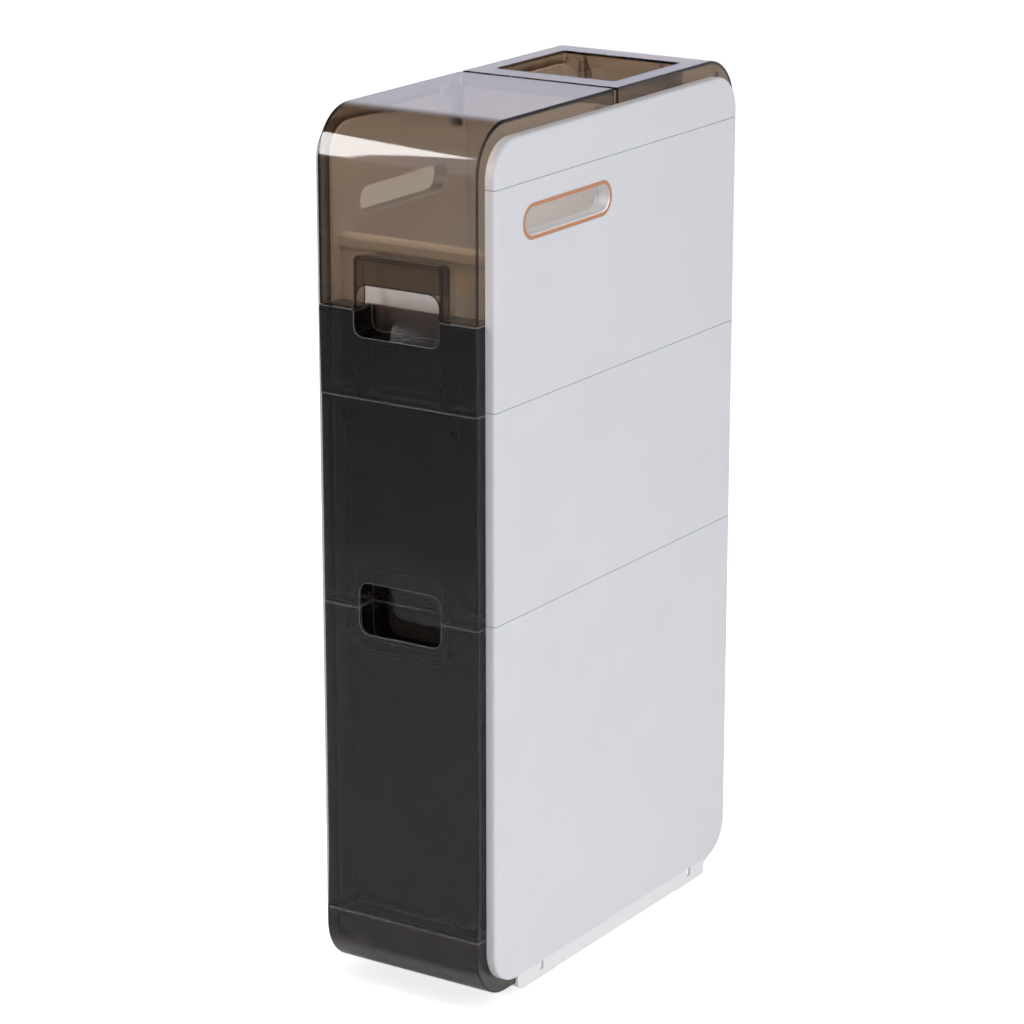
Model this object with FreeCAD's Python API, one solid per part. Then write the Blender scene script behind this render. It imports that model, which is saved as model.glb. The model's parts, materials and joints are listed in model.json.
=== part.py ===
import FreeCAD, Part
import math
import os

from FreeCAD import Vector

# Narrow rolling cabinet: white side cheeks round a smoked core with a lid, two drawers and four rollers.
# Millimetres. X to the right, Y to the back, Z up; the origin is on the floor, under the middle.

# Overall sizes
total_width = 180.0
body_depth = 420.0
band_proud = 2.0
kick_top = 74.7
lower_front_height = 282.5
middle_front_height = 185.8
band_height = 77.0
lid_front_height = 166.0

# White side cheeks
cheek_thickness = 9.75
cheek_front_setback = 11.0
cheek_rear_setback = 12.8
cheek_bottom_height = 28.5
cheek_top_drop = 13.5
cheek_corner_radius = 33.0
cheek_edge_round = 3.0
side_seam_rise = 2.6
cap_height = 39.6
seam_gap = 0.5
panel_wall = 2.5
rib_thickness = 1.6
rib_pitch = 78.0

# Smoked core covers
cover_corner_radius = 44.0
cover_bottom_height = 15.5
cover_wall = 2.4
skirt_wall = 2.0
skirt_depth = 16.0
cover_edge_round = 2.0
front_edge_round = 3.0
front_gap = 0.8
toe_height = 52.0
toe_bend_radius = 300.0

# Fits shared by the pieces
seat_clearance = 0.3
running_clearance = 0.5
pin_clearance = 0.06
overrun = 5.0
tolerance = 0.01

# Inner liners
liner_depth = 4.75
liner_wall = 2.1

# Grip slots and their copper trims
slot_length = 140.0
slot_height = 30.7
slot_start = 53.0
slot_top_drop = 72.5
trim_width = 3.3
trim_thickness = 1.6
trim_proud = 0.2

# Lid, its hinge and its finger pull
lid_length = 212.0
lid_rear_lip = 5.0
hinge_inset = 25.0
hinge_drop = 16.0
hinge_pin_radius = 2.5
hinge_ear_radius = 7.0
lid_open_angle = 85.0
pull_half_width = 42.0
pull_arch_drop = 144.5
pull_arch_radius = 11.0
hood_top_drop = 120.5
hood_back_drop = 147.0
hood_depth = 14.0
hood_round = 5.0

# Fixed band under the lid
notch_half_width = 43.0
notch_depth = 23.0
notch_radius = 8.5
notch_flare = 3.0
pocket_depth = 25.0
pocket_wall = 2.2
band_lean = 1.2
band_rib_drop = 54.0
band_rib_height = 1.6
band_rib_depth = 3.0

# Drawers
hole_half_width = 42.0
hole_above_seam = 23.8
hole_below_seam = 22.8
hole_radius = 10.0
pocket_margin = 3.0
pocket_reach = 14.0
box_wall = 2.2
box_corner_radius = 6.0
box_bottom_bevel = 3.5
box_rim_width = 1.3
box_rim_height = 4.0
box_side_gap = 0.8
box_front_drop = 26.0
stop_tab_length = 6.0
drawer_travel = 280.0
boss_radius = 4.0
boss_inset = 24.0
boss_rise = 11.0
screw_radius = 1.6
screw_head_radius = 3.4
screw_head_height = 2.2
screw_bite = 10.0

# Floors between the modules
floor_wall = 3.0
floor_rib_height = 1.5
floor_rib_width = 4.0
floor_lip = 4.5
floor_rib_inset = 22.0

# Upper bins
partition_wall = 2.2
front_wall_top_drop = 110.0
rim_height = 12.0
rim_proud = 3.0
bulge_half_width = 38.0
bulge_depth = 8.0

# Rear top frame
frame_gap = 6.2
frame_rear_drop = 53.0
frame_side_margin = 19.25
frame_front_margin = 24.8
frame_rear_margin = 64.0
frame_open_radius = 4.0
collar_depth = 24.0
clip_width = 2.0
clip_reach = 12.0
clip_inset = 40.25
clip_tab_width = 6.0
clip_tab_drop = 9.0
hook_length = 5.0
hook_top_drop = 11.0
hook_rear_inset = 30.3
hook_thickness = 1.5

# Base tray and its rollers
base_side_reach = 1.75
base_front = 58.0
base_rear_inset = 37.0
base_bottom_height = 9.0
base_middle_rise = 0.5
base_front_round = 9.0
base_rear_round = 4.0
front_block_length = 62.0
rear_block_length = 52.0
deck_wall = 3.0
deck_drop = 3.0
window_width = 7.0
window_height = 8.0
window_drop = 4.5
window_front = 39.0
window_rear = 28.0
tongue_wall = 1.6
tongue_drop_share = 0.2
wheel_radius = 19.0
wheel_width = 14.0
wheel_inset = 24.25
wheel_bore = 3.0
wheel_edge_bevel = 1.6
wheel_web = 4.0
wheel_rim = 4.0
wheel_hub = 6.0
well_clearance = 2.0
well_wall = 2.2

# Places worked out from the sizes above
half_width = total_width / 2
core_half = half_width - cheek_thickness
liner_half_width = core_half - liner_depth
base_half_width = core_half + base_side_reach
wheel_x = core_half - wheel_inset
cover_half = core_half - seat_clearance
skirt_inner = cover_half - skirt_wall
total_depth = body_depth + band_proud
front_y = band_proud - total_depth / 2
rear_y = front_y + body_depth
lower_front_top = kick_top + lower_front_height
middle_front_top = lower_front_top + middle_front_height
band_top = middle_front_top + band_height
top_z = band_top + lid_front_height
cheek_front_y = front_y + cheek_front_setback
cheek_rear_y = rear_y - cheek_rear_setback
cheek_top = top_z - cheek_top_drop
lower_seam = lower_front_top + side_seam_rise
upper_seam = middle_front_top + side_seam_rise
cap_seam = cheek_top - cap_height
liner_inset = skirt_depth + seat_clearance
liner_front_y = front_y + liner_inset
liner_rear_y = rear_y - liner_inset
liner_top = top_z - liner_inset
liner_bottom = cover_bottom_height + liner_inset
liner_outer = core_half - seat_clearance
hinge_y = front_y + lid_length - hinge_inset
hinge_z = top_z - hinge_drop
frame_front_y = front_y + lid_length + frame_gap
lid_rear_y = front_y + lid_length
box_front_y = front_y + pocket_depth + pocket_wall + seat_clearance
floor_front_y = box_front_y - seat_clearance
floor_half = liner_half_width - seat_clearance
bin_back_y = liner_rear_y


def box(x0, x1, y0, y1, z0, z1):
    return Part.makeBox(x1 - x0, y1 - y0, z1 - z0, Vector(x0, y0, z0))


def rounded_face(corners, place):
    # Closed outline of straight sides whose corners (u, v, radius) are rounded by arcs
    starts, ends, arcs = [], [], []
    count = len(corners)
    for index, (u, v, radius) in enumerate(corners):
        here = Vector(u, v, 0)
        last_u, last_v, _ = corners[index - 1]
        next_u, next_v, _ = corners[(index + 1) % count]
        back = (Vector(last_u, last_v, 0) - here).normalize()
        ahead = (Vector(next_u, next_v, 0) - here).normalize()
        if radius <= 0:
            starts.append(here)
            ends.append(here)
            arcs.append(None)
            continue
        half_angle = back.getAngle(ahead) / 2
        reach = radius / math.tan(half_angle)
        inward = (back + ahead).normalize()
        starts.append(here + back * reach)
        ends.append(here + ahead * reach)
        arcs.append(here + inward * (radius / math.sin(half_angle) - radius))
    edges = []
    for index in range(count):
        if arcs[index] is not None:
            three = [place(p.x, p.y) for p in (starts[index], arcs[index], ends[index])]
            edges.append(Part.Arc(*three).toShape())
        after = starts[(index + 1) % count]
        if ends[index].distanceToPoint(after) > tolerance:
            edges.append(Part.makeLine(place(ends[index].x, ends[index].y), place(after.x, after.y)))
    return Part.Face(Part.Wire(edges))


def side_prism(corners, x0, x1):
    face = rounded_face(corners, lambda u, v: Vector(x0, u, v))
    return face.extrude(Vector(x1 - x0, 0, 0))


def front_prism(corners, y0, y1):
    face = rounded_face(corners, lambda u, v: Vector(u, y0, v))
    return face.extrude(Vector(0, y1 - y0, 0))


def plan_prism(corners, z0, z1):
    face = rounded_face(corners, lambda u, v: Vector(u, v, z0))
    return face.extrude(Vector(0, 0, z1 - z0))


def rectangle(u0, u1, v0, v1, radius=0):
    return [(u0, v0, radius), (u1, v0, radius), (u1, v1, radius), (u0, v1, radius)]


def rod(radius, x0, x1, y, z):
    return Part.makeCylinder(radius, x1 - x0, Vector(x0, y, z), Vector(1, 0, 0))


def front_rod(radius, x, y0, y1, z):
    return Part.makeCylinder(radius, y1 - y0, Vector(x, y0, z), Vector(0, 1, 0))


def mirrored(shape):
    return shape.mirror(Vector(0, 0, 0), Vector(1, 0, 0))


def middle_of(edge):
    return edge.valueAt((edge.FirstParameter + edge.LastParameter) / 2)


def corner_band(face_y, inward, end_y, crown_z, toward, end_z, radius, depth):
    # L-shaped strip that runs along a flat face, round a corner and along the crown
    inner_y = face_y + inward * depth
    inner_z = crown_z + toward * depth
    return [(end_y, crown_z, 0), (face_y, crown_z, radius), (face_y, end_z, 0),
            (inner_y, end_z, 0), (inner_y, inner_z, radius - depth), (end_y, inner_z, 0)]


def corner_cover(face_y, inward, end_y, crown_z, toward, end_z):
    # Curved cover with side skirts, open at its two ends, its long outer edges rounded
    radius = cover_corner_radius
    strip = corner_band(face_y, inward, end_y, crown_z, toward, end_z, radius, skirt_depth)
    solid = side_prism(strip, -cover_half, cover_half)
    centre = Vector(0, face_y + inward * radius, crown_z + toward * radius)
    chosen = []
    for edge in solid.Edges:
        point = middle_of(edge)
        if abs(abs(point.x) - cover_half) > tolerance:
            continue
        flat = Vector(0, point.y, point.z)
        on_arc = abs(flat.distanceToPoint(centre) - radius) < tolerance
        on_flat = abs(point.y - face_y) < tolerance or abs(point.z - crown_z) < tolerance
        if on_arc or on_flat:
            chosen.append(edge)
    solid = solid.makeFillet(cover_edge_round, chosen)
    hollow = corner_band(face_y + inward * cover_wall, inward, end_y + inward * overrun,
                         crown_z + toward * cover_wall, toward, end_z + toward * overrun,
                         radius - cover_wall, skirt_depth)
    return solid.cut(side_prism(hollow, -skirt_inner, skirt_inner))


# Side cheeks

def cheek_outline(inset):
    return rectangle(cheek_front_y + inset, cheek_rear_y - inset, cheek_bottom_height + inset,
                     cheek_top - inset, cheek_corner_radius - inset)


def slot_outline(inset):
    front = front_y + slot_start + inset
    top = top_z - slot_top_drop - inset
    length = slot_length - 2 * inset
    height = slot_height - 2 * inset
    return rectangle(front, front + length, top - height, top, height / 2 - tolerance)


def full_cheek():
    solid = side_prism(cheek_outline(0), core_half, half_width)
    outer_edges = [edge for edge in solid.Edges if abs(edge.BoundBox.XMin - half_width) < tolerance]
    return solid.makeFillet(cheek_edge_round, outer_edges)


def cheek_module(bottom, top, has_slot):
    # One moulded cheek: skin, rim and ribs, open towards the liner behind it
    slab = box(0, total_width, -total_depth, total_depth, bottom + seam_gap / 2, top - seam_gap / 2)
    solid = full_cheek().common(slab)
    inner_bottom = max(bottom + seam_gap / 2, cheek_bottom_height) + panel_wall
    inner_top = min(top - seam_gap / 2, cheek_top) - panel_wall
    inner_slab = box(0, total_width, -total_depth, total_depth, inner_bottom, inner_top)
    hollow = side_prism(cheek_outline(panel_wall), core_half - overrun, half_width - panel_wall)
    hollow = hollow.common(inner_slab)
    rib_count = int((inner_top - inner_bottom) / rib_pitch)
    for index in range(rib_count):
        rib_z = inner_bottom + (index + 1) * (inner_top - inner_bottom) / (rib_count + 1)
        hollow = hollow.cut(box(0, total_width, -total_depth, total_depth,
                                rib_z - rib_thickness / 2, rib_z + rib_thickness / 2))
    solid = solid.cut(hollow)
    if not has_slot:
        return solid
    tunnel_inner = liner_half_width + liner_wall + seat_clearance
    solid = solid.fuse(side_prism(slot_outline(trim_width - panel_wall), tunnel_inner, half_width - panel_wall))
    solid = solid.cut(side_prism(slot_outline(trim_width), tunnel_inner - overrun, half_width + overrun))
    groove = side_prism(slot_outline(-seat_clearance), half_width - trim_thickness, half_width + overrun)
    return solid.cut(groove).removeSplitter()


def grip_trim():
    outer = side_prism(slot_outline(0), half_width - trim_thickness, half_width)
    inner = side_prism(slot_outline(trim_width), half_width - trim_thickness - overrun, half_width + overrun)
    return outer.cut(inner)


# Inner liners

def liner_outline(inset):
    radius = cover_corner_radius - liner_inset - inset
    return rectangle(liner_front_y + inset, liner_rear_y - inset, liner_bottom + inset,
                     liner_top - inset, radius)


def liner_module(bottom, top):
    # Shallow pan: its plate faces the drawers and its rim meets the cheek
    low = max(bottom + seam_gap / 2, liner_bottom)
    high = min(top - seam_gap / 2, liner_top)
    slab = box(0, total_width, -total_depth, total_depth, low, high)
    inner = box(0, total_width, -total_depth, total_depth, low + liner_wall, high - liner_wall)
    solid = side_prism(liner_outline(0), liner_half_width, liner_outer).common(slab)
    hollow = side_prism(liner_outline(liner_wall), liner_half_width + liner_wall, liner_outer + overrun)
    return solid.cut(hollow.common(inner))


def upper_liner():
    plate_outer = liner_half_width + liner_wall
    swing = lid_rear_y - hinge_y
    reach = math.hypot(swing, hinge_drop) + running_clearance
    solid = liner_module(upper_seam, top_z)
    solid = solid.cut(side_prism(slot_outline(trim_width), liner_half_width - overrun, plate_outer + overrun))
    ear_notch = hinge_ear_radius + running_clearance
    solid = solid.cut(box(plate_outer, half_width, hinge_y - ear_notch, hinge_y + reach,
                          liner_top - liner_wall, top_z))
    behind_ear = hinge_y + hinge_ear_radius + 2 * running_clearance
    solid = solid.cut(box(liner_half_width - overrun, half_width, behind_ear, hinge_y + reach,
                          hinge_z - swing - running_clearance, top_z))
    solid = solid.fuse(rod(hinge_ear_radius, liner_half_width, plate_outer, hinge_y, hinge_z))
    stop_top = hinge_z - swing - seat_clearance
    solid = solid.fuse(box(plate_outer, liner_outer, hinge_y, hinge_y + hinge_ear_radius,
                           stop_top - hinge_ear_radius, stop_top))
    solid = solid.cut(rod(hinge_pin_radius + pin_clearance, 0, half_width, hinge_y, hinge_z))
    return solid.removeSplitter()


def window_centre(at_front):
    if at_front:
        return base_front_y + window_front
    return base_rear_y - window_rear


def lower_liner():
    # Its two tongues snap into the windows of the base tray
    solid = liner_module(liner_bottom, lower_seam)
    tongue_outer = base_half_width - panel_wall - seat_clearance
    tongue_bottom = base_top - window_drop - tongue_drop_share * window_height
    for at_front in (True, False):
        middle = window_centre(at_front)
        tongue = box(tongue_outer - tongue_wall, tongue_outer, middle - window_width / 2,
                     middle + window_width / 2, tongue_bottom, liner_bottom + liner_wall)
        solid = solid.fuse(tongue)
    return solid.removeSplitter()


# Lid

def lid():
    bottom = band_top + front_gap / 2
    solid = corner_cover(front_y, 1, lid_rear_y, top_z, -1, bottom)
    solid = solid.fuse(box(-skirt_inner, skirt_inner, lid_rear_y - cover_wall, lid_rear_y,
                           top_z - lid_rear_lip, top_z - cover_wall))
    solid = solid.fuse(pull_hood(bottom))
    arch_top = top_z - pull_arch_drop
    arch = [(-pull_half_width, bottom - overrun, 0), (pull_half_width, bottom - overrun, 0),
            (pull_half_width, arch_top, pull_arch_radius), (-pull_half_width, arch_top, pull_arch_radius)]
    solid = solid.cut(front_prism(arch, front_y - overrun, front_y + cover_wall + tolerance))
    for side in (-1, 1):
        near, far = sorted((side * skirt_inner, side * cover_half))
        solid = solid.fuse(rod(hinge_ear_radius, near, far, hinge_y, hinge_z))
        solid = solid.cut(rod(hinge_pin_radius + pin_clearance, near - tolerance, far + tolerance,
                              hinge_y, hinge_z))
    return solid.removeSplitter()


def pull_hood(bottom):
    # Hood behind the finger arch: two cheeks, a roof and a short back wall
    roof = top_z - hood_top_drop
    outer = [(-pull_half_width - cover_wall, bottom, 0), (pull_half_width + cover_wall, bottom, 0),
             (pull_half_width + cover_wall, roof, hood_round), (-pull_half_width - cover_wall, roof, hood_round)]
    inner = [(-pull_half_width, bottom - overrun, 0), (pull_half_width, bottom - overrun, 0),
             (pull_half_width, roof - cover_wall, hood_round - cover_wall),
             (-pull_half_width, roof - cover_wall, hood_round - cover_wall)]
    wall_y = front_y + cover_wall
    back_y = front_y + hood_depth
    solid = front_prism(outer, wall_y, back_y)
    solid = solid.cut(front_prism(inner, wall_y, back_y - cover_wall))
    window = box(-pull_half_width, pull_half_width, wall_y, back_y + overrun, bottom - overrun,
                 top_z - hood_back_drop)
    return solid.cut(window)


def hinge_pins():
    pins = []
    for side in (-1, 1):
        inner = side * (liner_half_width - liner_wall)
        shoulder = side * liner_half_width
        outer = side * (cover_half - seat_clearance)
        head = rod(hinge_pin_radius + liner_wall, *sorted((inner, shoulder)), hinge_y, hinge_z)
        shank = rod(hinge_pin_radius, *sorted((shoulder, outer)), hinge_y, hinge_z)
        pins.append(head.fuse(shank).removeSplitter())
    return Part.makeCompound(pins)


# Fixed band with its finger notch

def upper_band():
    bottom = middle_front_top + front_gap / 2
    top = band_top - front_gap / 2
    profile = [(front_y - band_proud, top, 0), (front_y - band_proud + band_lean, bottom, 0),
               (front_y + skirt_depth, bottom, 0), (front_y + skirt_depth, top, 0)]
    solid = side_prism(profile, -cover_half, cover_half)
    uprights = [edge for edge in solid.Edges
                if middle_of(edge).y < front_y and edge.BoundBox.ZLength > band_height / 2]
    solid = solid.makeFillet(front_edge_round, uprights)
    hollow = [(front_y - band_proud + cover_wall, top - cover_wall, 0),
              (front_y - band_proud + band_lean + cover_wall, bottom - overrun, 0),
              (front_y + skirt_depth + overrun, bottom - overrun, 0),
              (front_y + skirt_depth + overrun, top - cover_wall, 0)]
    solid = solid.cut(side_prism(hollow, -skirt_inner, skirt_inner))
    back_y = front_y + pocket_depth
    shelf_half = liner_half_width - seat_clearance
    shelf = box(-shelf_half, shelf_half, front_y, back_y + pocket_wall, top - cover_wall, top)
    rear_wall = box(-shelf_half, shelf_half, back_y, back_y + pocket_wall, bottom, top)
    rib_top = band_top - band_rib_drop
    rib = box(-shelf_half, shelf_half, back_y - band_rib_depth, back_y, rib_top - band_rib_height, rib_top)
    floor_z = band_top - notch_depth
    outer = [(-notch_half_width - pocket_wall, top, 0),
             (-notch_half_width - pocket_wall, floor_z - pocket_wall, notch_radius + pocket_wall),
             (notch_half_width + pocket_wall, floor_z - pocket_wall, notch_radius + pocket_wall),
             (notch_half_width + pocket_wall, top, 0)]
    inner = [(-notch_half_width, top + overrun, 0), (-notch_half_width, floor_z, notch_radius),
             (notch_half_width, floor_z, notch_radius), (notch_half_width, top + overrun, 0)]
    solid = solid.fuse([shelf, rear_wall, rib, front_prism(outer, front_y, back_y + pocket_wall)])
    for side in (-1, 1):
        near, far = sorted((side * notch_half_width, side * (notch_half_width + pocket_wall)))
        solid = solid.fuse(box(near, far, front_y + cover_wall / 2, back_y, bottom, top - cover_wall))
    solid = solid.cut(front_prism(inner, front_y - band_proud - overrun, back_y)).removeSplitter()
    flares = [edge for edge in solid.Edges
              if abs(abs(middle_of(edge).x) - notch_half_width) < tolerance
              and abs(middle_of(edge).z - top) < tolerance and edge.BoundBox.YLength > pocket_depth / 2]
    return solid.makeFillet(notch_flare - tolerance, flares)


# Drawers

def front_profile(face_y, back_y, bottom, top, toe):
    # Side view of a front; a toe swells its foot forward to meet the kick cover
    profile = [(back_y, bottom, 0), (back_y, top, 0), (face_y, top, 0)]
    if toe > 0:
        profile.append((face_y, kick_top + toe_height, toe_bend_radius))
    return profile + [(face_y - toe, bottom, 0)]


def front_shell(bottom, top, toe):
    # Smoked drawer front: a pan with a rounded upright edge at each side
    solid = side_prism(front_profile(front_y, front_y + skirt_depth, bottom, top, toe), -cover_half, cover_half)
    uprights = [edge for edge in solid.Edges
                if middle_of(edge).y < front_y + tolerance and edge.BoundBox.XLength < tolerance]
    solid = solid.makeFillet(front_edge_round, uprights)
    hollow = front_profile(front_y + cover_wall, front_y + skirt_depth + overrun, bottom + cover_wall,
                           top - cover_wall, toe)
    return solid.cut(side_prism(hollow, -skirt_inner, skirt_inner))


def finger_pocket(seam, hole_edge, away):
    # Half of the shared finger hole with the pocket behind it; away is 1 above the seam and -1 below
    margin = hole_half_width + pocket_margin
    far = hole_edge + away * pocket_reach
    outer_half = margin + pocket_wall
    outer_far = far + away * pocket_wall
    round_in = hole_radius + pocket_margin
    outer = [(-outer_half, seam, 0), (outer_half, seam, 0),
             (outer_half, outer_far, round_in + pocket_wall), (-outer_half, outer_far, round_in + pocket_wall)]
    inner = [(-margin, seam - away * overrun, 0), (margin, seam - away * overrun, 0),
             (margin, far, round_in), (-margin, far, round_in)]
    hole = [(-hole_half_width, seam - away * overrun, 0), (hole_half_width, seam - away * overrun, 0),
            (hole_half_width, hole_edge, hole_radius), (-hole_half_width, hole_edge, hole_radius)]
    back_y = front_y + pocket_depth
    body = front_prism(outer, front_y + cover_wall, back_y + pocket_wall)
    cavity = front_prism(inner, front_y + cover_wall, back_y)
    opening = front_prism(hole, front_y - overrun, front_y + cover_wall + tolerance)
    return body, cavity, opening


def drawer_front(bottom, top, toe, pocket, boss_heights):
    body, cavity, opening = pocket
    solid = front_shell(bottom, top, toe).fuse(body)
    for z in boss_heights:
        face_y = front_y - toe * max(0, 1 - (z - kick_top) / toe_height)
        for x in (-1, 1):
            solid = solid.fuse(front_rod(boss_radius, x * boss_x, face_y + cover_wall / 2,
                                         box_front_y - seat_clearance, z))
    solid = solid.cut([cavity, opening])
    for x in (-1, 1):
        for z in boss_heights:
            solid = solid.cut(front_rod(screw_radius + pin_clearance, x * boss_x,
                                        box_front_y - screw_bite - seat_clearance, box_front_y, z))
    return solid.removeSplitter()


def drawer_box(bottom, top, boss_heights):
    # Open bin with rounded corners, two stop tabs and a rolled rim along its sides and rear
    half = liner_half_width - box_side_gap
    wall_half = half - box_rim_width
    rear = bin_back_y - running_clearance
    body = plan_prism(rectangle(-wall_half, wall_half, box_front_y, rear, box_corner_radius), bottom, top)
    base_edges = [edge for edge in body.Edges if abs(edge.BoundBox.ZMax - bottom) < tolerance]
    body = body.makeChamfer(box_bottom_bevel, base_edges)
    rim_front = box_front_y + box_corner_radius + box_rim_width
    rim_rear = rear + box_rim_width
    rim_radius = box_corner_radius + box_rim_width
    rim = plan_prism([(-half, rim_front, 0), (half, rim_front, 0), (half, rim_rear, rim_radius),
                      (-half, rim_rear, rim_radius)], top - box_rim_height, top)
    inner_rect = rectangle(-wall_half + box_wall, wall_half - box_wall, box_front_y + box_wall,
                           rear - box_wall, box_corner_radius - box_wall)
    hollow = plan_prism(inner_rect, bottom + box_wall, top + overrun)
    hollow_edges = [edge for edge in hollow.Edges if abs(edge.BoundBox.ZMax - bottom - box_wall) < tolerance]
    hollow = hollow.makeChamfer(box_bottom_bevel - box_wall / 2, hollow_edges)
    solid = body.fuse(rim).cut(hollow)
    stop_front = floor_front_y + floor_wall + drawer_travel + seat_clearance
    for side in (-1, 1):
        near, far = sorted((side * (wall_half - box_wall), side * wall_half))
        tab_top = top + floor_lip - running_clearance
        solid = solid.fuse(box(near, far, stop_front, stop_front + stop_tab_length, top - box_rim_height, tab_top))
    for side in (-1, 1):
        for z in boss_heights:
            solid = solid.cut(front_rod(screw_radius + pin_clearance, side * boss_x,
                                        box_front_y - overrun, box_front_y + box_wall + tolerance, z))
    return solid.removeSplitter()


def drawer_screws(boss_heights):
    screws = []
    for side in (-1, 1):
        for z in boss_heights:
            inside = box_front_y + box_wall
            shank = front_rod(screw_radius, side * boss_x, box_front_y - screw_bite, inside, z)
            head = front_rod(screw_head_radius, side * boss_x, inside, inside + screw_head_height, z)
            far_rim = [edge for edge in head.Edges
                       if abs(edge.BoundBox.YMin - inside - screw_head_height) < tolerance]
            head = head.makeChamfer(screw_head_height / 2, far_rim)
            screws.append(shank.fuse(head).removeSplitter())
    return Part.makeCompound(screws)


# Floors

def module_floor(level):
    # Plate under a bin or drawer, with glide ribs above and a stop lip below its front edge
    solid = box(-floor_half, floor_half, floor_front_y, bin_back_y - seat_clearance, level - floor_wall, level)
    lip = box(-floor_half, floor_half, floor_front_y, floor_front_y + floor_wall,
              level - floor_wall - floor_lip, level - floor_wall)
    solid = solid.fuse(lip)
    for side in (-1, 1):
        middle = side * (floor_half - floor_rib_inset)
        rib = box(middle - floor_rib_width / 2, middle + floor_rib_width / 2, floor_front_y,
                  bin_back_y - seat_clearance, level, level + floor_rib_height)
        solid = solid.fuse(rib)
    return solid.removeSplitter()


# Upper bins

def upper_partition():
    front = frame_front_y + cover_wall + seat_clearance
    low = upper_floor_level + seat_clearance
    high = top_z - cover_wall - seat_clearance
    return box(-floor_half, floor_half, front, front + partition_wall, low + floor_rib_height, high)


def upper_front_wall():
    # Wall of the front bin: rolled rim above, and set back in the middle behind the finger pocket
    front = box_front_y
    low = upper_floor_level + floor_rib_height + seat_clearance
    high = top_z - front_wall_top_drop
    set_back = front + bulge_depth
    half = bulge_half_width
    rounding = bulge_depth / 2
    plan = [(-floor_half, front, 0), (-half, front, rounding), (-half, set_back, rounding),
            (half, set_back, rounding), (half, front, rounding), (floor_half, front, 0),
            (floor_half, front + partition_wall, 0), (half + partition_wall, front + partition_wall, rounding),
            (half + partition_wall, set_back + partition_wall, rounding),
            (-half - partition_wall, set_back + partition_wall, rounding),
            (-half - partition_wall, front + partition_wall, rounding),
            (-floor_half, front + partition_wall, 0)]
    wall = plan_prism(plan, low, high - rim_height)
    rim = box(-floor_half, floor_half, front - rim_proud, set_back + partition_wall, high - rim_height, high)
    rim_edges = [edge for edge in rim.Edges
                 if abs(edge.BoundBox.YMax - front + rim_proud) < tolerance
                 and edge.BoundBox.XLength > floor_half]
    rim = rim.makeFillet(rim_proud, rim_edges)
    rim_hollow = box(-floor_half - overrun, floor_half + overrun, front - rim_proud + partition_wall,
                     set_back, high - rim_height - overrun, high - partition_wall)
    return wall.fuse(rim.cut(rim_hollow)).removeSplitter()


# Back covers

def back_cover(bottom, top):
    solid = box(-cover_half, cover_half, rear_y - skirt_depth, rear_y, bottom, top)
    uprights = [edge for edge in solid.Edges
                if abs(middle_of(edge).y - rear_y) < tolerance and edge.BoundBox.XLength < tolerance]
    solid = solid.makeFillet(front_edge_round, uprights)
    return solid.cut(box(-skirt_inner, skirt_inner, rear_y - skirt_depth - overrun, rear_y - cover_wall,
                         bottom + cover_wall, top - cover_wall))


# Rear top frame

def collar_clip(side, root):
    # Snap clip behind the collar: a thin fin that widens downwards, with a tab beside it
    middle = side * (core_half - clip_inset)
    bottom = top_z - collar_depth
    fin = side_prism([(root, top_z - cover_wall, 0), (root, bottom, 0), (root + clip_reach, bottom, 0)],
                     middle - clip_width / 2, middle + clip_width / 2)
    near, far = sorted((middle, middle + side * clip_tab_width))
    return fin.fuse(box(near, far, root, root + cover_wall, bottom, top_z - clip_tab_drop))


def frame_hook(side):
    # Small barb inside the side skirt, just above the liner
    middle = rear_y - hook_rear_inset
    bottom = top_z - skirt_depth
    barb = [(middle - hook_length / 2, bottom, 0), (middle + hook_length / 2, bottom, 0),
            (middle, top_z - hook_top_drop, 0)]
    near, far = sorted((side * (skirt_inner - hook_thickness), side * (skirt_inner + tolerance)))
    return side_prism(barb, near, far)


def rear_top_frame():
    solid = corner_cover(rear_y, -1, frame_front_y, top_z, -1, top_z - frame_rear_drop)
    solid = solid.fuse(box(-skirt_inner, skirt_inner, frame_front_y, frame_front_y + cover_wall,
                           top_z - skirt_depth, top_z - cover_wall))
    half = core_half - frame_side_margin
    front = frame_front_y + frame_front_margin
    rear = rear_y - frame_rear_margin
    wall = cover_wall
    collar = plan_prism(rectangle(-half - wall, half + wall, front - wall, rear + wall, frame_open_radius + wall),
                        top_z - collar_depth, top_z - cover_wall)
    opening = plan_prism(rectangle(-half, half, front, rear, frame_open_radius), top_z - collar_depth - overrun,
                         top_z + overrun)
    solid = solid.fuse(collar).cut(opening)
    for side in (-1, 1):
        solid = solid.fuse([collar_clip(side, rear + wall), frame_hook(side)])
    return solid.removeSplitter()


# Base tray and rollers

base_top = cheek_bottom_height - seat_clearance
base_front_y = front_y + base_front
base_rear_y = rear_y - base_rear_inset
lower_floor_level = kick_top - deck_drop + floor_rib_height
middle_floor_level = lower_seam
upper_floor_level = upper_seam
boss_x = cover_half - boss_inset
front_wheel_y = base_front_y + front_block_length / 2
well_half = wheel_width / 2 + well_clearance
well_reach = wheel_radius + well_clearance
well_top = 2 * wheel_radius + well_clearance
cover_end_y = rear_y - cover_corner_radius - seat_clearance
rear_wheel_y = cover_end_y - well_reach - well_wall


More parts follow.
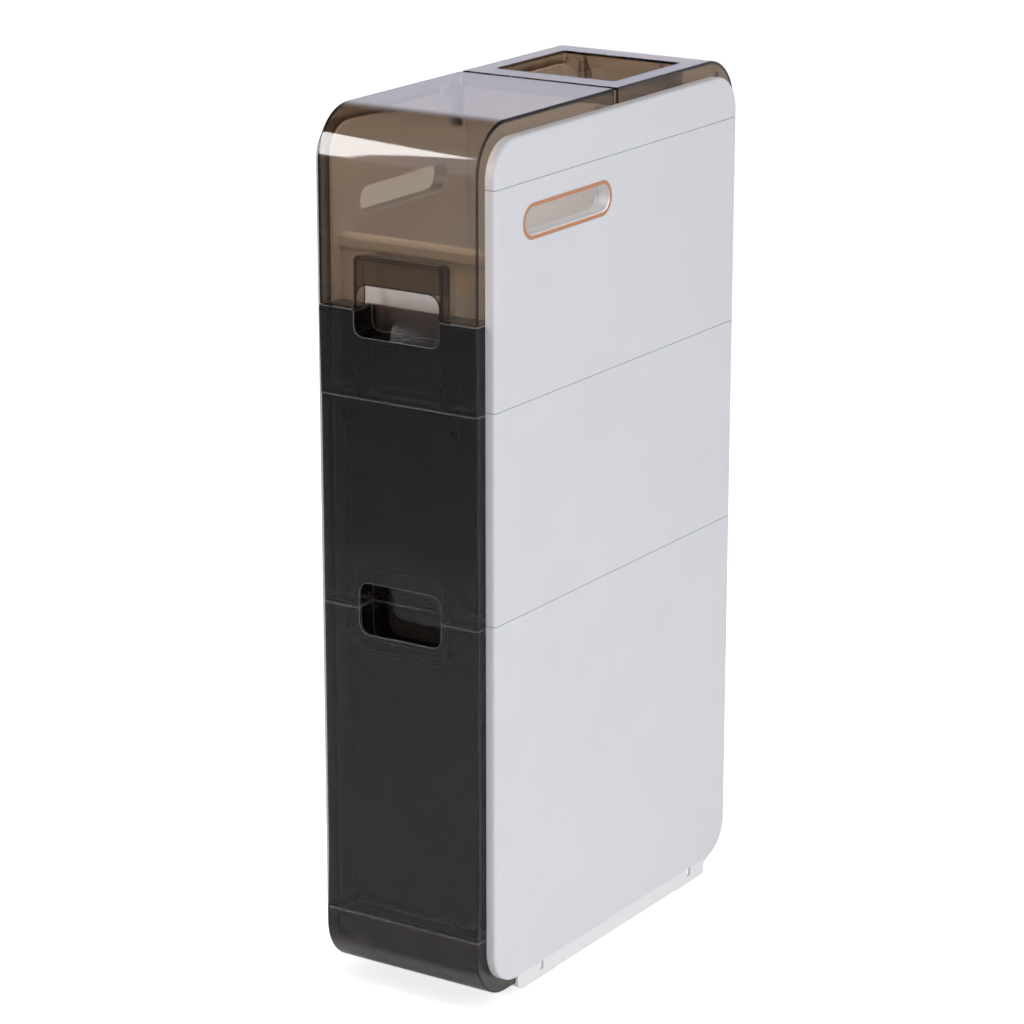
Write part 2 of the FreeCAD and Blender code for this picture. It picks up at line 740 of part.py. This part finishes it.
def base_tray():
    # Open tray: outer wall with deeper end blocks, deck, inner upstand and four roller wells
    half = base_half_width
    low = base_bottom_height
    middle_low = low + base_middle_rise
    front_block = base_front_y + front_block_length
    rear_block = base_rear_y - rear_block_length
    profile = [(base_front_y, low, base_front_round), (front_block, low, 0), (front_block, middle_low, 0),
               (rear_block, middle_low, 0), (rear_block, low, 0), (base_rear_y, low, base_rear_round),
               (base_rear_y, base_top, 0), (base_front_y, base_top, 0)]
    solid = side_prism(profile, -half, half)
    solid = solid.cut(box(-half + panel_wall, half - panel_wall, base_front_y + panel_wall,
                          base_rear_y - panel_wall, low - overrun, base_top - deck_wall))
    upstand_half = liner_half_width - seat_clearance
    upstand_top = lower_floor_level - floor_wall - seat_clearance
    upstand = box(-upstand_half, upstand_half, base_front_y, cover_end_y, base_top - deck_wall, upstand_top)
    upstand = upstand.cut(box(-upstand_half + panel_wall, upstand_half - panel_wall, base_front_y + panel_wall,
                              cover_end_y - panel_wall, base_top, upstand_top + overrun))
    solid = solid.fuse(upstand)
    for x in (-wheel_x, wheel_x):
        for y in (front_wheel_y, rear_wheel_y):
            solid = solid.fuse(box(x - well_half - well_wall, x + well_half + well_wall,
                                   y - well_reach - well_wall, y + well_reach + well_wall,
                                   low, well_top + well_wall))
            solid = solid.cut(box(x - well_half, x + well_half, y - well_reach, y + well_reach,
                                  low - overrun, well_top))
            solid = solid.cut(rod(wheel_bore, x - well_half - well_wall - tolerance,
                                  x + well_half + well_wall + tolerance, y, wheel_radius))
    solid = solid.cut(box(-core_half, core_half, cover_end_y, base_rear_y + overrun, 0, base_top + overrun))
    for side in (-1, 1):
        for at_front in (True, False):
            near, far = sorted((side * (half - panel_wall - overrun), side * (half + overrun)))
            middle = window_centre(at_front)
            solid = solid.cut(box(near, far, middle - window_width / 2, middle + window_width / 2,
                                  base_top - window_drop - window_height, base_top - window_drop))
            slot_outer = half - panel_wall
            near, far = sorted((side * (slot_outer - tongue_wall - 2 * seat_clearance), side * slot_outer))
            slot_half = window_width / 2 + seat_clearance
            solid = solid.cut(box(near, far, middle - slot_half, middle + slot_half,
                                  base_top - deck_wall - overrun, base_top + overrun))
    return solid.removeSplitter()


def wheel(x, y):
    # Roller turned from a profile: tread, thin web and hub round the axle
    half = wheel_width / 2
    bore = wheel_bore + pin_clearance
    hub = wheel_hub
    rim = wheel_radius - wheel_rim
    web = wheel_web / 2
    shoulder = wheel_radius - wheel_edge_bevel
    profile = [(bore, -half, 0), (hub, -half, 0), (hub, -web, 0), (rim, -web, 0), (rim, -half, 0),
               (shoulder, -half, 0), (wheel_radius, wheel_edge_bevel - half, 0),
               (wheel_radius, half - wheel_edge_bevel, 0), (shoulder, half, 0), (rim, half, 0), (rim, web, 0),
               (hub, web, 0), (hub, half, 0), (bore, half, 0)]
    face = rounded_face(profile, lambda u, v: Vector(x + v, y, wheel_radius + u))
    return face.revolve(Vector(x, y, wheel_radius), Vector(1, 0, 0), 360)


def wheel_axles():
    reach = well_half + well_wall
    axles = []
    for x in (-wheel_x, wheel_x):
        for y in (front_wheel_y, rear_wheel_y):
            axles.append(rod(wheel_bore - tolerance, x - reach, x + reach, y, wheel_radius))
    return Part.makeCompound(axles)


def all_parts():
    parts = {}
    cheeks = {"lower_cheek": cheek_module(0, lower_seam, False),
              "middle_cheek": cheek_module(lower_seam, upper_seam, False),
              "upper_cheek": cheek_module(upper_seam, cap_seam, True),
              "top_cap": cheek_module(cap_seam, top_z, False),
              "grip_trim": grip_trim().translated(Vector(trim_proud, 0, 0)),
              "lower_liner": lower_liner(),
              "middle_liner": liner_module(lower_seam, upper_seam),
              "upper_liner": upper_liner()}
    for name, shape in cheeks.items():
        parts[name + "_right"] = shape
        parts[name + "_left"] = mirrored(shape)
    half_gap = front_gap / 2
    parts["kick_cover"] = corner_cover(front_y - band_proud, 1, base_front_y - seat_clearance, cover_bottom_height, 1,
                                       kick_top - half_gap)
    parts["upper_band"] = upper_band()
    parts["lid"] = lid()
    parts["hinge_pins"] = hinge_pins()
    parts["rear_top_frame"] = rear_top_frame()
    parts["upper_partition"] = upper_partition()
    parts["upper_front_wall"] = upper_front_wall()
    parts["lower_floor"] = module_floor(lower_floor_level)
    parts["middle_floor"] = module_floor(middle_floor_level)
    parts["upper_floor"] = module_floor(upper_floor_level)
    parts["lower_back"] = corner_cover(rear_y, -1, rear_y - cover_corner_radius, cover_bottom_height, 1,
                                       lower_seam - half_gap)
    parts["middle_back"] = back_cover(lower_seam + half_gap, upper_seam - half_gap)
    parts["upper_back"] = back_cover(upper_seam + half_gap, top_z - frame_rear_drop - front_gap)
    parts["base_tray"] = base_tray()
    parts["wheel_axles"] = wheel_axles()
    for end, y in (("front", front_wheel_y), ("rear", rear_wheel_y)):
        for side, x in (("left", -wheel_x), ("right", wheel_x)):
            parts[end + "_" + side + "_wheel"] = wheel(x, y)
    drawers = {"lower": (kick_top, lower_front_top, lower_floor_level, middle_floor_level),
               "middle": (lower_front_top, middle_front_top, middle_floor_level, upper_floor_level)}
    for name, (bottom, top, floor_level, ceiling_level) in drawers.items():
        if name == "lower":
            toe = band_proud
            pocket = finger_pocket(top - half_gap, lower_front_top - hole_below_seam, -1)
        else:
            toe = 0
            pocket = finger_pocket(bottom + half_gap, lower_front_top + hole_above_seam, 1)
        box_bottom = floor_level + floor_rib_height + seat_clearance
        box_top = ceiling_level - floor_wall - floor_lip - running_clearance
        boss_heights = (box_bottom + boss_rise, box_top - boss_rise)
        parts[name + "_drawer_front"] = drawer_front(bottom + half_gap, top - half_gap, toe,
                                                       pocket, boss_heights)
        parts[name + "_drawer_box"] = drawer_box(box_bottom, box_top, boss_heights)
        parts[name + "_drawer_screws"] = drawer_screws(boss_heights)
    return parts


os.makedirs("parts", exist_ok=True)
for node, shape in all_parts().items():
    shape.exportStep("parts/" + node + ".step")
    print(node, len(shape.Solids), "solids", shape.isValid(), round(shape.Volume / 1000, 1), "cm3")
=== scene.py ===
import bpy
import bmesh
import json
import math
from mathutils import Euler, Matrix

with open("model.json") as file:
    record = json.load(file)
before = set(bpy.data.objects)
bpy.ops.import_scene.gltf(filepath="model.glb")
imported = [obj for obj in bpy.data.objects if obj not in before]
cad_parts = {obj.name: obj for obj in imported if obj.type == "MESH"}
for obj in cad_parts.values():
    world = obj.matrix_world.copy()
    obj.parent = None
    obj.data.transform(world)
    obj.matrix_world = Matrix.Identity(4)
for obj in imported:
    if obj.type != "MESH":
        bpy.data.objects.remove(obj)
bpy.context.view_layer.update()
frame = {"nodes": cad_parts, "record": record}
nodes = frame["nodes"]
print("frame loaded:", len(nodes), "nodes")


def hexColor(code):
    # sRGB hex to the linear colour that Blender wants
    parts = [int(code[i:i + 2], 16) / 255 for i in (1, 3, 5)]
    linear = [p / 12.92 if p <= 0.04045 else ((p + 0.055) / 1.055) ** 2.4 for p in parts]
    return (*linear, 1.0)


def addNode(tree, kind, settings=None, links=None):
    # settings: attributes by name, or socket values by name or number; links: socket -> output
    node = tree.nodes.new(kind)
    for name, value in (settings or {}).items():
        if isinstance(name, str) and hasattr(node, name):
            setattr(node, name, value)
        else:
            node.inputs[name].default_value = value
    for name, output in (links or {}).items():
        tree.links.new(output, node.inputs[name])
    return node


def newMaterial(name):
    material = bpy.data.materials.new(name)
    material.use_nodes = True
    material.node_tree.nodes.clear()
    return material, material.node_tree


def objectSpace(tree, stretch=(1, 1, 1)):
    # Object coordinates are the cabinet's own metres
    place = addNode(tree, "ShaderNodeTexCoord")
    return addNode(tree, "ShaderNodeMapping", {"Scale": stretch},
                   {"Vector": place.outputs["Object"]}).outputs["Vector"]


def perMetre(mm):
    # how often a pattern of this size in millimetres repeats in one metre
    return 1000 / mm


def colorAndGloss(tree, noise, colors, rough):
    # one noise carries both the slight change of colour and that of gloss
    tint = addNode(tree, "ShaderNodeMix",
                   {"data_type": "RGBA", 6: hexColor(colors[0]), 7: hexColor(colors[1])},
                   {"Factor": noise.outputs["Fac"]})
    gloss = addNode(tree, "ShaderNodeMapRange", {"To Min": rough[0], "To Max": rough[1]},
                    {"Value": noise.outputs["Fac"]})
    return tint.outputs[2], gloss.outputs["Result"]


# white polystyrene, injection moulded: satin and even, with a very slight orange peel
whiteLook = {
    "panel": ("#e9ebf0", "#e3e5eb"),
    "trayPaintedBounce": ("#fafafb", "#f4f5f7"),     # whiter: painted bounce light, standing for the glow the floor throws on the low base
    "rough": (0.34, 0.46),
    "cloudMm": 90.0,        # slow drift of colour and gloss over a moulded panel
    "peelMm": 2.5,          # orange peel; the real 0.5 mm is too fine for the picture
    "peelHeight": 0.00002, "peelStrength": 0.35,
    "edgeMm": 0.5,          # the broken edge along a seam
}


def mouldedPolystyrene(name, variant):
    look = whiteLook
    material, tree = newMaterial(name)
    cloud = addNode(tree, "ShaderNodeTexNoise", {"Scale": perMetre(look["cloudMm"]), "Detail": 2.0},
                    {"Vector": objectSpace(tree)})
    peel = addNode(tree, "ShaderNodeTexNoise", {"Scale": perMetre(look["peelMm"]), "Detail": 1.0},
                   {"Vector": objectSpace(tree)})
    color, gloss = colorAndGloss(tree, cloud, look[variant], look["rough"])
    edge = addNode(tree, "ShaderNodeBevel", {"samples": 4, "Radius": look["edgeMm"] / 1000})
    bump = addNode(tree, "ShaderNodeBump",
                   {"Strength": look["peelStrength"], "Distance": look["peelHeight"]},
                   {"Height": peel.outputs["Fac"], "Normal": edge.outputs["Normal"]})
    shader = addNode(tree, "ShaderNodeBsdfPrincipled", {"IOR": 1.5},
                     {"Base Color": color, "Roughness": gloss, "Normal": bump.outputs["Normal"]})
    addNode(tree, "ShaderNodeOutputMaterial", {}, {"Surface": shader.outputs["BSDF"]})
    return material


# smoked styrene acrylonitrile, injection moulded: clear, polished and tinted, with faint flow waves
# tint is lost at each face of a wall, absorb and density within it, passing is for its shadows
# edge, edgeMm and the edge colour paint lines along the edges: painted shade on the lid and frame,
# painted highlights on the boxes and fronts
smokeLook = {
    # the lid, with dark lines painted along its edges: painted shade for the dark look where one
    # looks along the wall
    "clear": {"tint": "#b2a592", "absorb": "#80502f", "density": 100.0, "shine": 0.34,
              "rough": (0.02, 0.05), "passing": "#fff9f3",
              "edge": 0.95, "edgeMm": 2.0, "paintedEdgeShadeAndHighlight": "#0d0b0a"},
    # the rear frame, less polished than the lid, with the same painted dark edge lines
    "dull": {"tint": "#c3b5a4", "absorb": "#80502f", "density": 100.0, "shine": 0.06,
             "rough": (0.04, 0.08), "passing": "#fff9f3",
             "edge": 0.7, "edgeMm": 1.2, "paintedEdgeShadeAndHighlight": "#0d0b0a"},
    # the drawer boxes, with faint light lines painted along their edges as painted highlights
    "deep": {"tint": "#ffffff", "absorb": "#7a5a40", "density": 600.0, "shine": 0.1,
             "rough": (0.05, 0.11), "passing": "#f9f4f0",
             "edge": 0.3, "edgeMm": 0.6, "paintedEdgeShadeAndHighlight": "#c4c0bd"},
    # the band, the drawer fronts and the foot: nearly black, with light lines painted along their
    # edges as painted highlights
    "front": {"tint": "#ffffff", "absorb": "#7a5a40", "density": 880.0, "shine": 0.13,
              "rough": (0.05, 0.11), "passing": "#f3f0ee",
              "edge": 0.65, "edgeMm": 0.55, "paintedEdgeShadeAndHighlight": "#dcd8d4"},
    "flowMm": 45.0, "flowStretch": (1, 1, 0.4),     # long waves that the melt leaves in a wall
    "flowHeight": 0.00003, "flowStrength": 0.3,
    "hazeMm": 30.0,         # slow change of the polish
    "edgeStart": 0.998, "edgeFull": 0.95,       # cosine between the true and the rounded normal, where the painted edge lines start and where they are full
}


def smokedPlastic(name, variant):
    look = smokeLook[variant]
    material, tree = newMaterial(name)
    flow = addNode(tree, "ShaderNodeTexNoise",
                   {"Scale": perMetre(smokeLook["flowMm"]), "Detail": 1.0},
                   {"Vector": objectSpace(tree, smokeLook["flowStretch"])})
    haze = addNode(tree, "ShaderNodeTexNoise",
                   {"Scale": perMetre(smokeLook["hazeMm"]), "Detail": 4.0},
                   {"Vector": objectSpace(tree)})
    gloss = addNode(tree, "ShaderNodeMapRange",
                    {"To Min": look["rough"][0], "To Max": look["rough"][1]},
                    {"Value": haze.outputs["Fac"]})
    edge = addNode(tree, "ShaderNodeBevel", {"samples": 4, "Radius": look["edgeMm"] / 1000})
    bump = addNode(tree, "ShaderNodeBump",
                   {"Strength": smokeLook["flowStrength"], "Distance": smokeLook["flowHeight"]},
                   {"Height": flow.outputs["Fac"], "Normal": edge.outputs["Normal"]})
    wall = addNode(tree, "ShaderNodeBsdfPrincipled",
                   {"Base Color": hexColor(look["tint"]), "Transmission Weight": 1.0, "IOR": 1.5,
                    "Specular IOR Level": look["shine"]},
                   {"Roughness": gloss.outputs["Result"], "Normal": bump.outputs["Normal"]})
    # the mask of the painted edge lines: how far the rounded normal has turned away from the true
    # one
    face = addNode(tree, "ShaderNodeNewGeometry")
    turned = addNode(tree, "ShaderNodeVectorMath", {"operation": "DOT_PRODUCT"},
                     {0: edge.outputs["Normal"], 1: face.outputs["Normal"]})
    paintedEdgeMask = addNode(tree, "ShaderNodeMapRange",
                     {"From Min": smokeLook["edgeFull"], "From Max": smokeLook["edgeStart"],
                      "To Min": look["edge"], "To Max": 0.0},
                     {"Value": turned.outputs["Value"]})
    # the painted edge colour: painted shade on the lid and frame, painted highlights on the boxes
    # and fronts
    paintedEdgeShader = addNode(tree, "ShaderNodeBsdfDiffuse", {"Color": hexColor(look["paintedEdgeShadeAndHighlight"])})
    body = addNode(tree, "ShaderNodeMixShader", {},
                   {"Fac": paintedEdgeMask.outputs["Result"], 1: wall.outputs["BSDF"],
                    2: paintedEdgeShader.outputs["BSDF"]})
    # lamps shine through, so that the white inside is lit
    passing = addNode(tree, "ShaderNodeBsdfTransparent", {"Color": hexColor(look["passing"])})
    path = addNode(tree, "ShaderNodeLightPath")
    surface = addNode(tree, "ShaderNodeMixShader", {},
                      {"Fac": path.outputs["Is Shadow Ray"], 1: body.outputs["Shader"],
                       2: passing.outputs["BSDF"]})
    absorb = addNode(tree, "ShaderNodeVolumeAbsorption",
                     {"Color": hexColor(look["absorb"]), "Density": look["density"]})
    addNode(tree, "ShaderNodeOutputMaterial", {},
            {"Surface": surface.outputs["Shader"], "Volume": absorb.outputs["Volume"]})
    return material


# copper paint rolled on the outer face of a white moulded ring: satin metal flake, fine grain
copperLook = {
    "paint": ("#cf9470", "#c08560"), "metallic": 0.35,
    "flakeMm": 0.8, "rough": (0.32, 0.5),
    "bare": "#e9ebf0",      # the ring's own white, on its sides
    "sideways": (0.45, 0.55),       # how far a face looks to the side where the paint begins
}


def copperPaint():
    look = copperLook
    material, tree = newMaterial("copperPaint")
    flake = addNode(tree, "ShaderNodeTexNoise", {"Scale": perMetre(look["flakeMm"]), "Detail": 2.0},
                    {"Vector": objectSpace(tree)})
    color, gloss = colorAndGloss(tree, flake, look["paint"], look["rough"])
    paint = addNode(tree, "ShaderNodeBsdfPrincipled", {"Metallic": look["metallic"]},
                    {"Base Color": color, "Roughness": gloss})
    bare = addNode(tree, "ShaderNodeBsdfPrincipled",
                   {"Base Color": hexColor(look["bare"]), "IOR": 1.5}, {"Roughness": gloss})
    face = addNode(tree, "ShaderNodeNewGeometry")
    facing = addNode(tree, "ShaderNodeSeparateXYZ", {}, {"Vector": face.outputs["True Normal"]})
    outward = addNode(tree, "ShaderNodeMath", {"operation": "ABSOLUTE"}, {0: facing.outputs["X"]})
    painted = addNode(tree, "ShaderNodeMapRange",
                      {"From Min": look["sideways"][0], "From Max": look["sideways"][1]},
                      {"Value": outward.outputs["Value"]})
    surface = addNode(tree, "ShaderNodeMixShader", {},
                      {"Fac": painted.outputs["Result"], 1: bare.outputs["BSDF"],
                       2: paint.outputs["BSDF"]})
    addNode(tree, "ShaderNodeOutputMaterial", {}, {"Surface": surface.outputs["Shader"]})
    return material


# roller nylon, turned smooth by use: dark grey and matte, with fine scuffs round the roller
rollerLook = {
    "colors": ("#3a3a3d", "#2e2e31"), "rough": (0.45, 0.7),
    "scuffMm": 1.5, "scuffStretch": (0.3, 1, 1),
    "scuffHeight": 0.00003, "scuffStrength": 0.4,
}


def rollerNylon():
    look = rollerLook
    material, tree = newMaterial("rollerNylon")
    scuff = addNode(tree, "ShaderNodeTexNoise", {"Scale": perMetre(look["scuffMm"]), "Detail": 3.0},
                    {"Vector": objectSpace(tree, look["scuffStretch"])})
    color, gloss = colorAndGloss(tree, scuff, look["colors"], look["rough"])
    bump = addNode(tree, "ShaderNodeBump",
                   {"Strength": look["scuffStrength"], "Distance": look["scuffHeight"]},
                   {"Height": scuff.outputs["Fac"]})
    shader = addNode(tree, "ShaderNodeBsdfPrincipled", {"IOR": 1.53},
                     {"Base Color": color, "Roughness": gloss, "Normal": bump.outputs["Normal"]})
    addNode(tree, "ShaderNodeOutputMaterial", {}, {"Surface": shader.outputs["BSDF"]})
    return material


# zinc plated steel, turned: fine rings round the axis along X
zincLook = {
    "colors": ("#c9cacc", "#b4b6b9"), "rough": (0.22, 0.38),
    "ringMm": 0.4, "ringStretch": (8, 0.5, 0.5),
}


def zincSteel():
    look = zincLook
    material, tree = newMaterial("zincSteel")
    ring = addNode(tree, "ShaderNodeTexNoise",
                   {"Scale": perMetre(look["ringMm"]) / look["ringStretch"][0], "Detail": 2.0},
                   {"Vector": objectSpace(tree, look["ringStretch"])})
    color, gloss = colorAndGloss(tree, ring, look["colors"], look["rough"])
    shader = addNode(tree, "ShaderNodeBsdfPrincipled", {"Metallic": 1.0},
                     {"Base Color": color, "Roughness": gloss})
    addNode(tree, "ShaderNodeOutputMaterial", {}, {"Surface": shader.outputs["BSDF"]})
    return material


finishOfSlot = {
    "white_plastic": mouldedPolystyrene("mouldedPolystyrene", "panel"),
    "smoke_clear": smokedPlastic("smokedPlasticClear", "clear"),
    "smoke_dark": smokedPlastic("smokedPlasticDeep", "deep"),
    "copper_trim": copperPaint(),
    "roller_plastic": rollerNylon(),
    "steel_hardware": zincSteel(),
}
frontFinish = smokedPlastic("smokedPlasticFront", "front")
finishOfNode = {
    "upper_band": frontFinish,
    "middle_drawer_front": frontFinish,
    "lower_drawer_front": frontFinish,
    "kick_cover": frontFinish,
    "rear_top_frame": smokedPlastic("smokedPlasticDull", "dull"),
    # the base tray takes the whiter copy of the white, painted bounce light from the floor
    "base_tray": mouldedPolystyrene("mouldedPolystyreneTrayPaintedBounce", "trayPaintedBounce"),
}
slotOfNode = {row["node"]: row["material_slot"] for row in frame["record"]["subparts"]}
for name, part in nodes.items():
    part.data.materials.clear()
    part.data.materials.append(finishOfNode.get(name) or finishOfSlot[slotOfNode[name]])
print("finishes on", len(nodes), "nodes")


# the white surround of the studio
surround = {
    "strength": 0.34,       # what lights the object; the camera sees 1
    "throughTint": "#f7f8ff", "through": 2.5,       # the backdrop as it shows through the smoke
    "mirrorTint": "#eaecff",        # and as the polished lid mirrors it
    "mirrorLight": 1.14, "mirrorDark": 0.04,        # bright low down, dark overhead
    "mirrorLow": 0.26, "mirrorHigh": 0.72,      # sines of the heights between which it fades
}


def whiteSurround():
    world = bpy.data.worlds.new("whiteSurround")
    world.use_nodes = True
    tree = world.node_tree
    tree.nodes.clear()
    path = addNode(tree, "ShaderNodeLightPath")
    strength = addNode(tree, "ShaderNodeMapRange", {"To Min": surround["strength"], "To Max": 1.0},
                       {"Value": path.outputs["Is Camera Ray"]})
    plain = addNode(tree, "ShaderNodeBackground", {"Color": (1, 1, 1, 1)},
                    {"Strength": strength.outputs["Result"]})
    through = addNode(tree, "ShaderNodeBackground",
                      {"Color": hexColor(surround["throughTint"]), "Strength": surround["through"]})
    place = addNode(tree, "ShaderNodeTexCoord")
    height = addNode(tree, "ShaderNodeSeparateXYZ", {}, {"Vector": place.outputs["Generated"]})
    fade = addNode(tree, "ShaderNodeMapRange",
                   {"interpolation_type": "SMOOTHSTEP",
                    "From Min": surround["mirrorLow"], "From Max": surround["mirrorHigh"],
                    "To Min": surround["mirrorLight"], "To Max": surround["mirrorDark"]},
                   {"Value": height.outputs["Z"]})
    mirrored = addNode(tree, "ShaderNodeBackground", {"Color": hexColor(surround["mirrorTint"])},
                       {"Strength": fade.outputs["Result"]})
    seen = addNode(tree, "ShaderNodeMixShader", {},
                   {"Fac": path.outputs["Is Transmission Ray"], 1: plain.outputs["Background"],
                    2: through.outputs["Background"]})
    total = addNode(tree, "ShaderNodeMixShader", {},
                    {"Fac": path.outputs["Is Glossy Ray"], 1: seen.outputs["Shader"],
                     2: mirrored.outputs["Background"]})
    addNode(tree, "ShaderNodeOutputWorld", {}, {"Surface": total.outputs["Shader"]})
    bpy.context.scene.world = world


def stageCard(name, size, at, material, turn=(0, 0, 0)):
    # a flat card round its own middle, put in place by its mesh
    shape = bmesh.new()
    bmesh.ops.create_grid(shape, x_segments=1, y_segments=1, size=0.5)
    bmesh.ops.scale(shape, vec=(*size, 1), verts=shape.verts)
    bmesh.ops.rotate(shape, cent=(0, 0, 0), matrix=Euler(turn).to_matrix(), verts=shape.verts)
    bmesh.ops.translate(shape, vec=at, verts=shape.verts)
    mesh = bpy.data.meshes.new(name)
    shape.to_mesh(mesh)
    shape.free()
    card = bpy.data.objects.new(name, mesh)
    card.data.materials.append(material)
    bpy.context.scene.collection.objects.link(card)
    return card


floorLook = {
    "size": 40.0, "color": "#dedede",
    "bounce": 0.05,         # the glow that reaches the object
    "lift": 0.78,           # the glow for the camera alone: white, and the soft shadow stays
    "mirrored": 0.14, "through": 0.4,       # more glow where it is mirrored or seen through smoke
}


def paleFloor():
    material, tree = newMaterial("paleFloor")
    path = addNode(tree, "ShaderNodeLightPath")
    direct = addNode(tree, "ShaderNodeMapRange",
                     {"To Min": floorLook["bounce"], "To Max": floorLook["lift"]},
                     {"Value": path.outputs["Is Camera Ray"]})
    mirrored = addNode(tree, "ShaderNodeMapRange", {"To Max": floorLook["mirrored"]},
                       {"Value": path.outputs["Is Glossy Ray"]})
    through = addNode(tree, "ShaderNodeMapRange", {"To Max": floorLook["through"]},
                      {"Value": path.outputs["Is Transmission Ray"]})
    glowStrength = direct.outputs["Result"]
    for extra in (mirrored, through):
        added = addNode(tree, "ShaderNodeMath", {"operation": "ADD"},
                        {0: glowStrength, 1: extra.outputs["Result"]})
        glowStrength = added.outputs["Value"]
    paint = addNode(tree, "ShaderNodeBsdfDiffuse", {"Color": hexColor(floorLook["color"])})
    glow = addNode(tree, "ShaderNodeEmission", {"Color": (1, 1, 1, 1)}, {"Strength": glowStrength})
    surface = addNode(tree, "ShaderNodeAddShader", {},
                      {0: paint.outputs["BSDF"], 1: glow.outputs["Emission"]})
    addNode(tree, "ShaderNodeOutputMaterial", {}, {"Surface": surface.outputs["Shader"]})
    stageCard("floor", (floorLook["size"], floorLook["size"]), (0, 0, 0), material)


def onlyMirrored(card):
    card.visible_camera = False
    card.visible_diffuse = False
    card.visible_transmission = False
    card.visible_shadow = False


# what lies in front of the table, seen only in the polished fronts
flags = {
    "farFlag": {"size": (12.0, 6.0), "at": (0.0, -4.27, 0.004), "color": "#babbbf"},
    "nearFlag": {"size": (12.0, 1.05), "at": (0.0, -0.745, 0.004), "color": "#d0d1d4"},
}


def greyFlag(name):
    flag = flags[name]
    material, tree = newMaterial(name)
    cloth = addNode(tree, "ShaderNodeBsdfDiffuse", {"Color": hexColor(flag["color"])})
    addNode(tree, "ShaderNodeOutputMaterial", {}, {"Surface": cloth.outputs["BSDF"]})
    onlyMirrored(stageCard(name, flag["size"], flag["at"], material))


# the tall white card that the lid's front curve mirrors as a wedge, cut off along a slope
windowLook = {
    "size": (1.3, 2.4), "at": (-1.94, -2.0, 2.0), "radiance": 16.0,
    "corner": (-1.33, -2.0, 1.95), "slope": (0.81, 0, 0.59),
}


def windowStrip():
    material, tree = newMaterial("windowLight")
    glow = addNode(tree, "ShaderNodeEmission",
                   {"Color": (1, 1, 1, 1), "Strength": windowLook["radiance"]})
    addNode(tree, "ShaderNodeOutputMaterial", {}, {"Surface": glow.outputs["Emission"]})
    upright = (math.pi / 2, 0, 0)
    card = stageCard("windowLight", windowLook["size"], windowLook["at"], material, upright)
    shape = bmesh.new()
    shape.from_mesh(card.data)
    bmesh.ops.bisect_plane(shape, geom=shape.verts[:] + shape.edges[:] + shape.faces[:],
                           plane_co=windowLook["corner"], plane_no=windowLook["slope"],
                           clear_outer=True)
    shape.to_mesh(card.data)
    shape.free()
    onlyMirrored(card)


# soft boxes, all aimed at the target
lamps = {
    "keyBox": {"size": (1.4, 1.8), "at": (2.6, -1.05, 2.1), "power": 36.5},
    "topBox": {"size": (1.6, 1.6), "at": (0.4, -0.6, 3.0), "power": 58.0},
    "target": (0, 0, 0.4),
}


def softBox(name):
    box = lamps[name]
    data = bpy.data.lights.new(name, "AREA")
    data.shape = "RECTANGLE"
    data.size, data.size_y = box["size"]
    data.energy = box["power"]
    lamp = bpy.data.objects.new(name, data)
    bpy.context.scene.collection.objects.link(lamp)
    ahead = [a - b for a, b in zip(lamps["target"], box["at"])]
    lamp.location = box["at"]
    lamp.rotation_euler = (math.atan2(math.hypot(ahead[0], ahead[1]), -ahead[2]), 0,
                           math.atan2(ahead[1], ahead[0]) - math.pi / 2)
    lamp.visible_glossy = False
    return lamp


def keepOff(lamp, names):
    # light linking: the named pieces don't take this lamp's light
    shaded = bpy.data.collections.new(lamp.name + "Shaded")
    for name in names:
        shaded.objects.link(nodes[name])
    for row in shaded.collection_objects:
        row.light_linking.link_state = "EXCLUDE"
    lamp.light_linking.receiver_collection = shaded


cameraSetup = {
    "lens": 128.5, "sensor": 36.0, "clip": (0.05, 100.0),
    "at": (1.6864, -2.6341, 1.3348), "turn": (73.314, 0.0, 32.964),     # degrees
}


def photoCamera():
    data = bpy.data.cameras.new("photoCamera")
    data.lens = cameraSetup["lens"]
    data.sensor_width = cameraSetup["sensor"]
    data.clip_start, data.clip_end = cameraSetup["clip"]
    camera = bpy.data.objects.new("photoCamera", data)
    camera.location = cameraSetup["at"]
    camera.rotation_euler = [math.radians(a) for a in cameraSetup["turn"]]
    bpy.context.scene.collection.objects.link(camera)
    bpy.context.scene.camera = camera


whiteSurround()
paleFloor()
for name in flags:
    greyFlag(name)
windowStrip()
print("surround, floor and cards ready")
softBox("keyBox")
# the top lamp is for the inside: the upper rims of the cheeks and caps stay soft grey
keepOff(softBox("topBox"), [name for name in nodes if "cheek" in name or "top_cap" in name])
photoCamera()
bpy.context.scene.view_settings.view_transform = "Standard"
print("lamps and camera ready")
